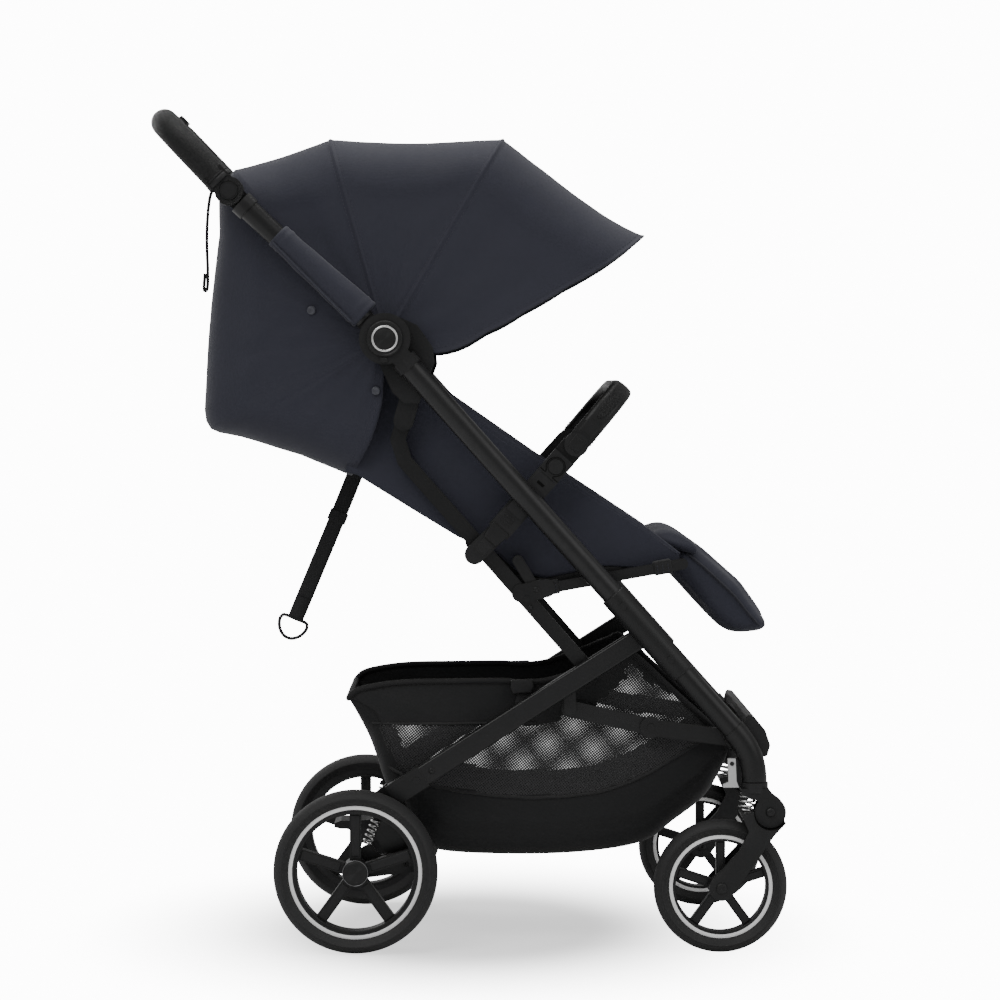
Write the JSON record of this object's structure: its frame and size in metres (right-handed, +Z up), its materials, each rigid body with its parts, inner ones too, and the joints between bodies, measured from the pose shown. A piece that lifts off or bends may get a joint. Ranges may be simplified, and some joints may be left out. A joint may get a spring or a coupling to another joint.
{
  "type": "baby stroller",
  "caption": "Compact folding baby stroller with reclining seat, fabric canopy, leg rest, bumper bar, mesh storage basket and swivelling sprung wheels.",
  "frame": {"origin": "middle of the length and width, on the floor under the wheels", "axes": "+X the way the child faces, +Y to the child's left, +Z up"},
  "size_m": [0.7612, 0.447, 1.0091],
  "materials": {
    "frame_metal": "satin black coating",
    "black_plastic": "fine satin",
    "navy_fabric": "plain weave",
    "black_fabric": "plain weave with mesh",
    "grip_leather": "fine grain",
    "tyre": "matt",
    "rim_plastic": "satin",
    "grey_plastic": "satin"
  },
  "bodies": {
    "frame": {"front_tube_r": "frame_metal", "front_tube_l": "frame_metal", "frame_connector_r": "black_plastic", "frame_connector_l": "black_plastic", "front_bracket_r": "black_plastic", "front_bracket_l": "black_plastic", "hub_r": "black_plastic", "hub_l": "black_plastic", "back_strut_r": "frame_metal", "back_strut_l": "frame_metal", "bumper_adapter_r": "black_plastic", "bumper_adapter_l": "black_plastic", "front_cross_member": "black_plastic", "seat_frame": "frame_metal", "seat": "navy_fabric", "rear_shell": "navy_fabric", "canopy_bow_rear": "frame_metal", "basket": "black_fabric"},
    "push_handle": {"push_arm_r": "frame_metal", "push_arm_l": "frame_metal"},
    "handlebar": {"handlebar": "grip_leather"},
    "tilt_button_r": {"tilt_button_r": "black_plastic"},
    "tilt_button_l": {"tilt_button_l": "black_plastic"},
    "fold_trigger": {"fold_trigger": "black_plastic"},
    "canopy_front": {"canopy_bow_front": "frame_metal", "canopy_panel_front": "navy_fabric"},
    "canopy_mid": {"canopy_bow_mid": "frame_metal", "canopy_panel_mid": "navy_fabric"},
    "backrest": {"backrest": "navy_fabric"},
    "leg_rest": {"leg_rest": "navy_fabric"},
    "bumper_arms": {"bumper_arm_r": "black_plastic", "bumper_arm_l": "black_plastic"},
    "bumper_button_r": {"bumper_button_r": "black_plastic"},
    "bumper_button_l": {"bumper_button_l": "black_plastic"},
    "bumper_bar": {"bumper_bar": "grip_leather"},
    "rear_frame": {"rear_leg_r": "frame_metal", "rear_leg_l": "frame_metal", "rear_beam": "frame_metal"},
    "brake_pedal": {"brake_pedal": "black_plastic"},
    "knee_link_rear_r": {"knee_link_rear_r": "frame_metal"},
    "knee_link_front_r": {"knee_link_front_r": "frame_metal"},
    "swing_arm_r": {"swing_arm_r": "black_plastic"},
    "rear_wheel_r": {"rear_rim_r": "rim_plastic", "rear_tyre_r": "tyre"},
    "swivel_r": {"swivel_head_r": "black_plastic"},
    "front_fork_r": {"front_fork_r": "black_plastic"},
    "front_wheel_r": {"front_rim_r": "rim_plastic", "front_tyre_r": "tyre"},
    "swivel_lock_r": {"swivel_lock_r": "grey_plastic"},
    "knee_link_rear_l": {"knee_link_rear_l": "frame_metal"},
    "knee_link_front_l": {"knee_link_front_l": "frame_metal"},
    "swing_arm_l": {"swing_arm_l": "black_plastic"},
    "rear_wheel_l": {"rear_rim_l": "rim_plastic", "rear_tyre_l": "tyre"},
    "swivel_l": {"swivel_head_l": "black_plastic"},
    "front_fork_l": {"front_fork_l": "black_plastic"},
    "front_wheel_l": {"front_rim_l": "rim_plastic", "front_tyre_l": "tyre"},
    "swivel_lock_l": {"swivel_lock_l": "grey_plastic"}
  },
  "joints": [
    {"name": "handle_fold", "type": "hinge", "parent": "frame", "child": "push_handle", "pos_m": [-0.0987, 0, 0.7317], "axis": [0, 1, 0], "range_deg": [0, 112]},
    {"name": "handlebar_tilt", "type": "hinge", "parent": "push_handle", "child": "handlebar", "pos_m": [-0.28273, 0, 0.90634], "axis": [0, 1, 0], "range_deg": [-60, 45]},
    {"name": "tilt_press_r", "type": "slide", "parent": "handlebar", "child": "tilt_button_r", "axis": [0, 1, 0], "range_m": [0, 0.003], "stiffness_N_per_m": 600, "springref_m": -0.001},
    {"name": "tilt_press_l", "type": "slide", "parent": "handlebar", "child": "tilt_button_l", "axis": [0, -1, 0], "range_m": [0, 0.003], "stiffness_N_per_m": 600, "springref_m": -0.001},
    {"name": "trigger_pull", "type": "slide", "parent": "handlebar", "child": "fold_trigger", "axis": [-0.7242, 0, -0.6896], "range_m": [0, 0.003], "stiffness_N_per_m": 500, "springref_m": -0.002},
    {"name": "canopy_fold", "type": "hinge", "parent": "frame", "child": "canopy_front", "pos_m": [-0.0987, 0, 0.7317], "axis": [0, 1, 0], "range_deg": [-68, 0], "deforming": ["canopy_panel_front", "rear_shell"]},
    {"name": "canopy_mid_follow", "type": "hinge", "parent": "frame", "child": "canopy_mid", "pos_m": [-0.0987, 0, 0.7317], "axis": [0, 1, 0], "range_deg": [-40, 0], "deforming": ["canopy_panel_mid"]},
    {"name": "recline", "type": "hinge", "parent": "frame", "child": "backrest", "pos_m": [0.0597, 0, 0.466], "axis": [0, 1, 0], "range_deg": [0, 45]},
    {"name": "leg_rest_tilt", "type": "hinge", "parent": "frame", "child": "leg_rest", "pos_m": [0.2577, 0, 0.462], "axis": [0, 1, 0], "range_deg": [-40, 20]},
    {"name": "bumper_pull", "type": "slide", "parent": "frame", "child": "bumper_arms", "axis": [0.6626, 0, 0.749], "range_m": [0, 0.045]},
    {"name": "bumper_press_r", "type": "slide", "parent": "bumper_arms", "child": "bumper_button_r", "axis": [0, 1, 0], "range_m": [0, 0.002], "stiffness_N_per_m": 600, "springref_m": -0.001},
    {"name": "bumper_press_l", "type": "slide", "parent": "bumper_arms", "child": "bumper_button_l", "axis": [0, -1, 0], "range_m": [0, 0.002], "stiffness_N_per_m": 600, "springref_m": -0.001},
    {"name": "bumper_fold", "type": "hinge", "parent": "bumper_arms", "child": "bumper_bar", "pos_m": [0.1293, 0, 0.606], "axis": [0, 1, 0], "range_deg": [0, 70]},
    {"name": "frame_fold", "type": "hinge", "parent": "frame", "child": "rear_frame", "pos_m": [0.2097, 0, 0.3765], "axis": [0, 1, 0], "range_deg": [-45, 0]},
    {"name": "link_rear_fold_r", "type": "hinge", "parent": "rear_frame", "child": "knee_link_rear_r", "pos_m": [0.1222, -0.1536, 0.2875], "axis": [0, 1, 0], "range_deg": [0, 89.5]},
    {"name": "link_front_fold_r", "type": "hinge", "parent": "frame", "child": "knee_link_front_r", "pos_m": [0.317, -0.1577, 0.2523], "axis": [0, 1, 0], "range_deg": [-67.5, 0]},
    {"name": "rear_suspension_r", "type": "hinge", "parent": "rear_frame", "child": "swing_arm_r", "pos_m": [-0.0671, -0.175, 0.1066], "axis": [0, 1, 0], "range_deg": [0, 7], "stiffness_Nm_per_rad": 40, "springref_deg": -14.32},
    {"name": "rear_wheel_spin_r", "type": "hinge", "parent": "swing_arm_r", "child": "rear_wheel_r", "pos_m": [-0.1341, -0.204, 0.098], "axis": [0, 1, 0], "continuous": true},
    {"name": "front_swivel_r", "type": "hinge", "parent": "frame", "child": "swivel_r", "pos_m": [0.3412, -0.1955, 0.2044], "axis": [0, 0, 1], "continuous": true},
    {"name": "front_suspension_r", "type": "hinge", "parent": "swivel_r", "child": "front_fork_r", "pos_m": [0.3597, -0.1955, 0.1688], "axis": [0, 1, 0], "range_deg": [0, 6], "stiffness_Nm_per_rad": 40, "springref_deg": -14.32},
    {"name": "front_wheel_spin_r", "type": "hinge", "parent": "front_fork_r", "child": "front_wheel_r", "pos_m": [0.3009, -0.1955, 0.0797], "axis": [0, 1, 0], "continuous": true},
    {"name": "swivel_lock_r", "type": "hinge", "parent": "frame", "child": "swivel_lock_r", "pos_m": [0.3142, -0.198, 0.226], "axis": [0, 1, 0], "range_deg": [0, 25]},
    {"name": "link_rear_fold_l", "type": "hinge", "parent": "rear_frame", "child": "knee_link_rear_l", "pos_m": [0.1222, 0.1536, 0.2875], "axis": [0, 1, 0], "range_deg": [0, 89.5]},
    {"name": "link_front_fold_l", "type": "hinge", "parent": "frame", "child": "knee_link_front_l", "pos_m": [0.317, 0.1577, 0.2523], "axis": [0, 1, 0], "range_deg": [-67.5, 0]},
    {"name": "rear_suspension_l", "type": "hinge", "parent": "rear_frame", "child": "swing_arm_l", "pos_m": [-0.0671, 0.175, 0.1066], "axis": [0, 1, 0], "range_deg": [0, 7], "stiffness_Nm_per_rad": 40, "springref_deg": -14.32},
    {"name": "rear_wheel_spin_l", "type": "hinge", "parent": "swing_arm_l", "child": "rear_wheel_l", "pos_m": [-0.1341, 0.204, 0.098], "axis": [0, 1, 0], "continuous": true},
    {"name": "front_swivel_l", "type": "hinge", "parent": "frame", "child": "swivel_l", "pos_m": [0.3412, 0.1955, 0.2044], "axis": [0, 0, 1], "continuous": true},
    {"name": "front_suspension_l", "type": "hinge", "parent": "swivel_l", "child": "front_fork_l", "pos_m": [0.3597, 0.1955, 0.1688], "axis": [0, 1, 0], "range_deg": [0, 6], "stiffness_Nm_per_rad": 40, "springref_deg": -14.32},
    {"name": "front_wheel_spin_l", "type": "hinge", "parent": "front_fork_l", "child": "front_wheel_l", "pos_m": [0.3009, 0.1955, 0.0797], "axis": [0, 1, 0], "continuous": true},
    {"name": "swivel_lock_l", "type": "hinge", "parent": "frame", "child": "swivel_lock_l", "pos_m": [0.3142, 0.198, 0.226], "axis": [0, 1, 0], "range_deg": [0, 25]},
    {"name": "brake_press", "type": "hinge", "parent": "rear_frame", "child": "brake_pedal", "pos_m": [-0.0903, 0, 0.13], "axis": [0, 1, 0], "range_deg": [-22, 0]}
  ],
  "couplings": [
    {"joint": "canopy_mid_follow", "follows": "canopy_fold", "ratio": 0.547},
    {"joint": "link_rear_fold_r", "follows": "frame_fold", "ratio": -1.9721},
    {"joint": "link_front_fold_r", "follows": "frame_fold", "ratio": 1.4732},
    {"joint": "link_rear_fold_l", "follows": "frame_fold", "ratio": -1.9721},
    {"joint": "link_front_fold_l", "follows": "frame_fold", "ratio": 1.4732}
  ]
}
